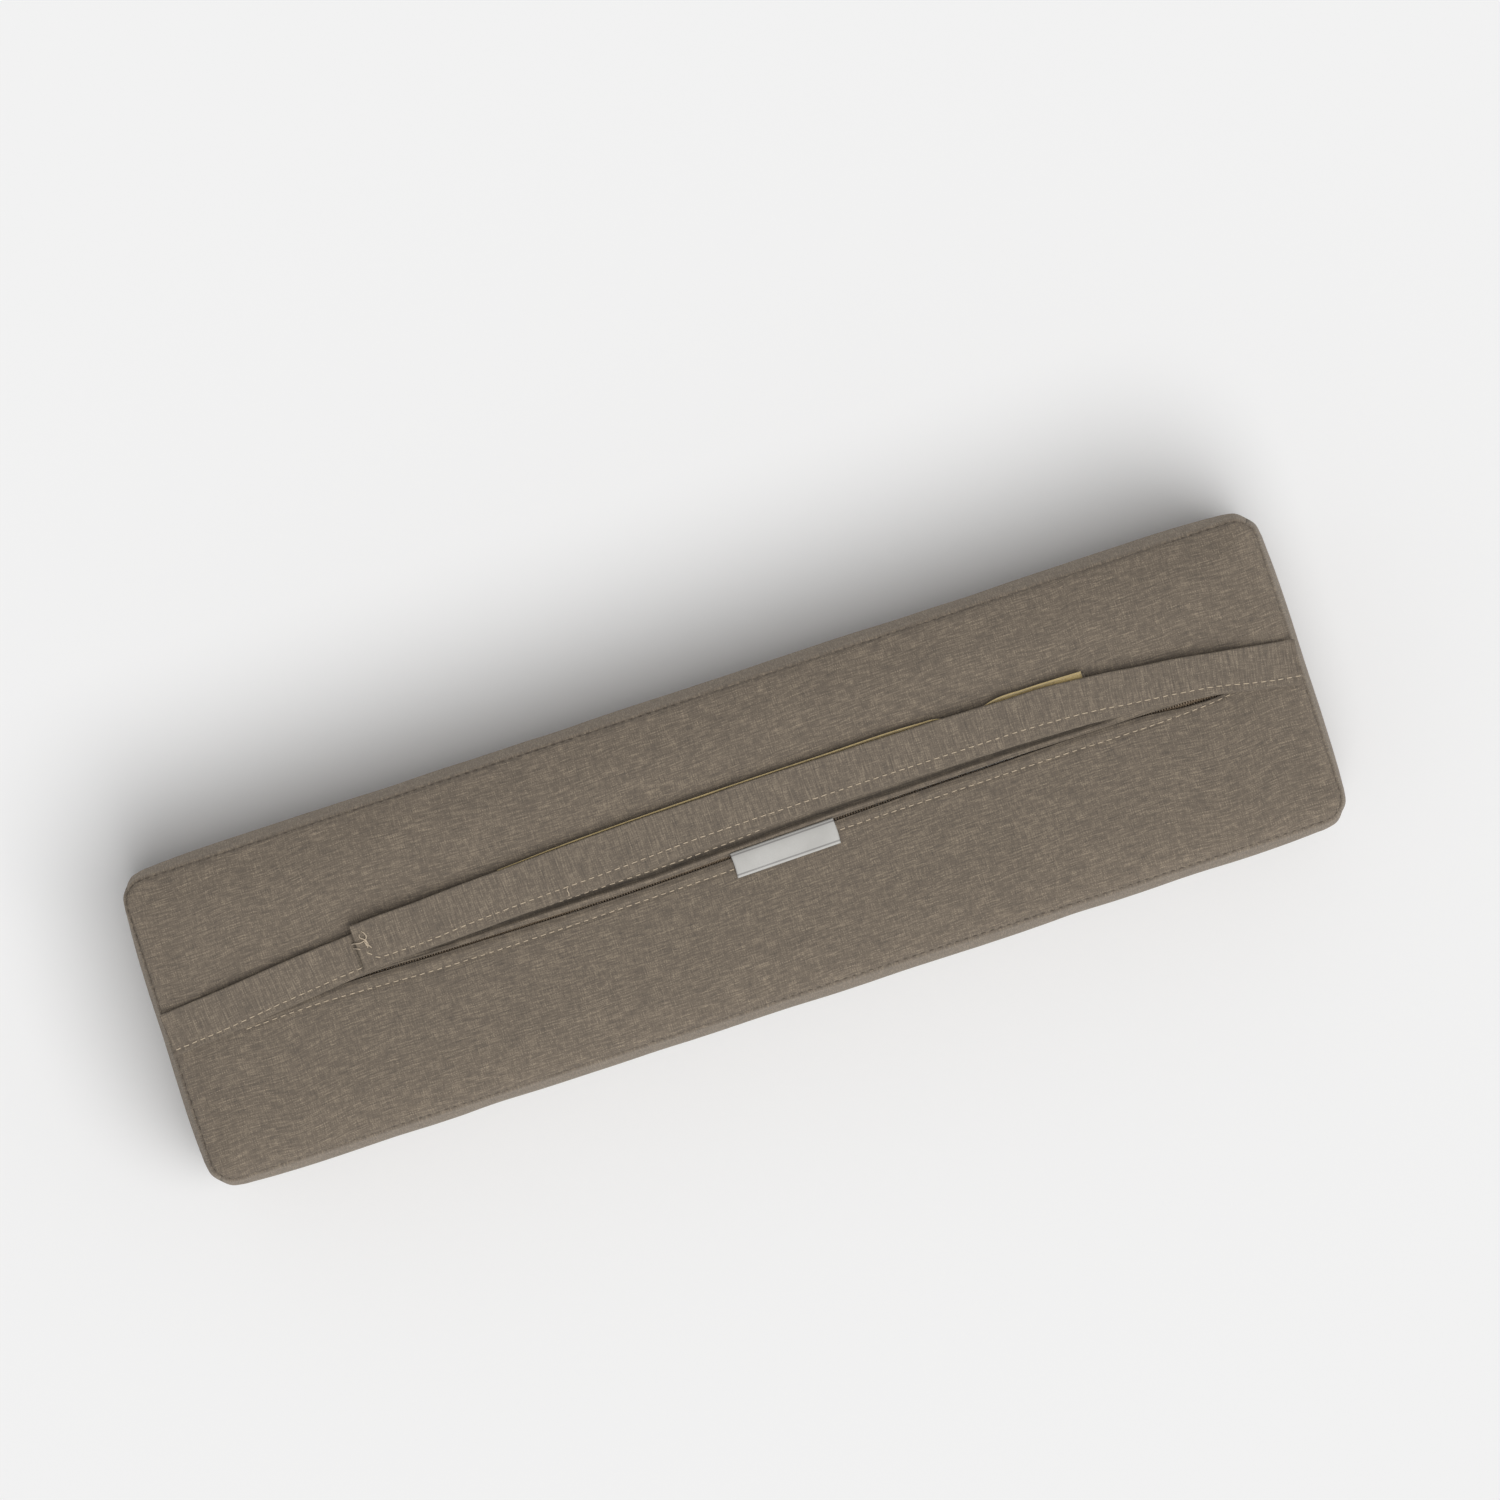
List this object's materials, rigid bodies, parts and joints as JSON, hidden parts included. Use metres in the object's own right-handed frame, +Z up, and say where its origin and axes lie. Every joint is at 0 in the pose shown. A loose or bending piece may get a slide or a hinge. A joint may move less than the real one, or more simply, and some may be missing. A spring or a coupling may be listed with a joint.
{
  "type": "bolster pillow",
  "caption": "Box-edged fabric bolster pillow with a zipped back and overlapping hook-and-loop straps for tying it to a backrest.",
  "frame": {"origin": "middle of the footprint, on the surface that the front panel lies on", "axes": "+X along the pillow towards the right strap's sewn root, +Y across it towards the back panel's wider upper half, +Z up through the back panel with the zip and the straps"},
  "size_m": [0.559, 0.158, 0.1078],
  "materials": {
    "cover_fabric": "taupe heather outdoor weave, matt",
    "fibre": "white polyester fibre wrap",
    "foam": "open-cell polyurethane foam",
    "zip_tape": "brown woven tape",
    "zip_coil": "brown nylon coil",
    "zip_metal": "dark bronze",
    "loop_tape": "tan loop pile",
    "hook_tape": "tan nylon hooks",
    "label_satin": "off-white satin"
  },
  "bodies": {
    "pillow": {"front_panel": "cover_fabric", "back_panel_upper": "cover_fabric", "back_panel_lower": "cover_fabric", "boxing_upper": "cover_fabric", "boxing_lower": "cover_fabric", "end_panel_left": "cover_fabric", "end_panel_right": "cover_fabric", "fibre_wrap": "fibre", "foam_core": "foam", "zipper_tape_upper": "zip_tape", "zipper_tape_lower": "zip_tape", "zipper_coil_upper": "zip_coil", "zipper_coil_lower": "zip_coil", "zipper_stop_left": "zip_metal", "zipper_stop_right": "zip_metal", "label": "label_satin", "left_strap": "cover_fabric", "loop_tape": "loop_tape"},
    "strap_right": {"right_strap": "cover_fabric", "hook_tape": "hook_tape"},
    "slider": {"zipper_slider": "zip_metal", "zipper_pull": "zip_metal"}
  },
  "joints": [
    {"name": "right_strap_lift", "type": "hinge", "parent": "pillow", "child": "strap_right", "pos_m": [0.2746, 0.0012, 0.0978], "axis": [0, 1, 0], "range_deg": [0, 180]},
    {"name": "slider_slide", "type": "slide", "parent": "pillow", "child": "slider", "axis": [1, 0.0061, 0], "range_m": [0, 0.456]}
  ]
}
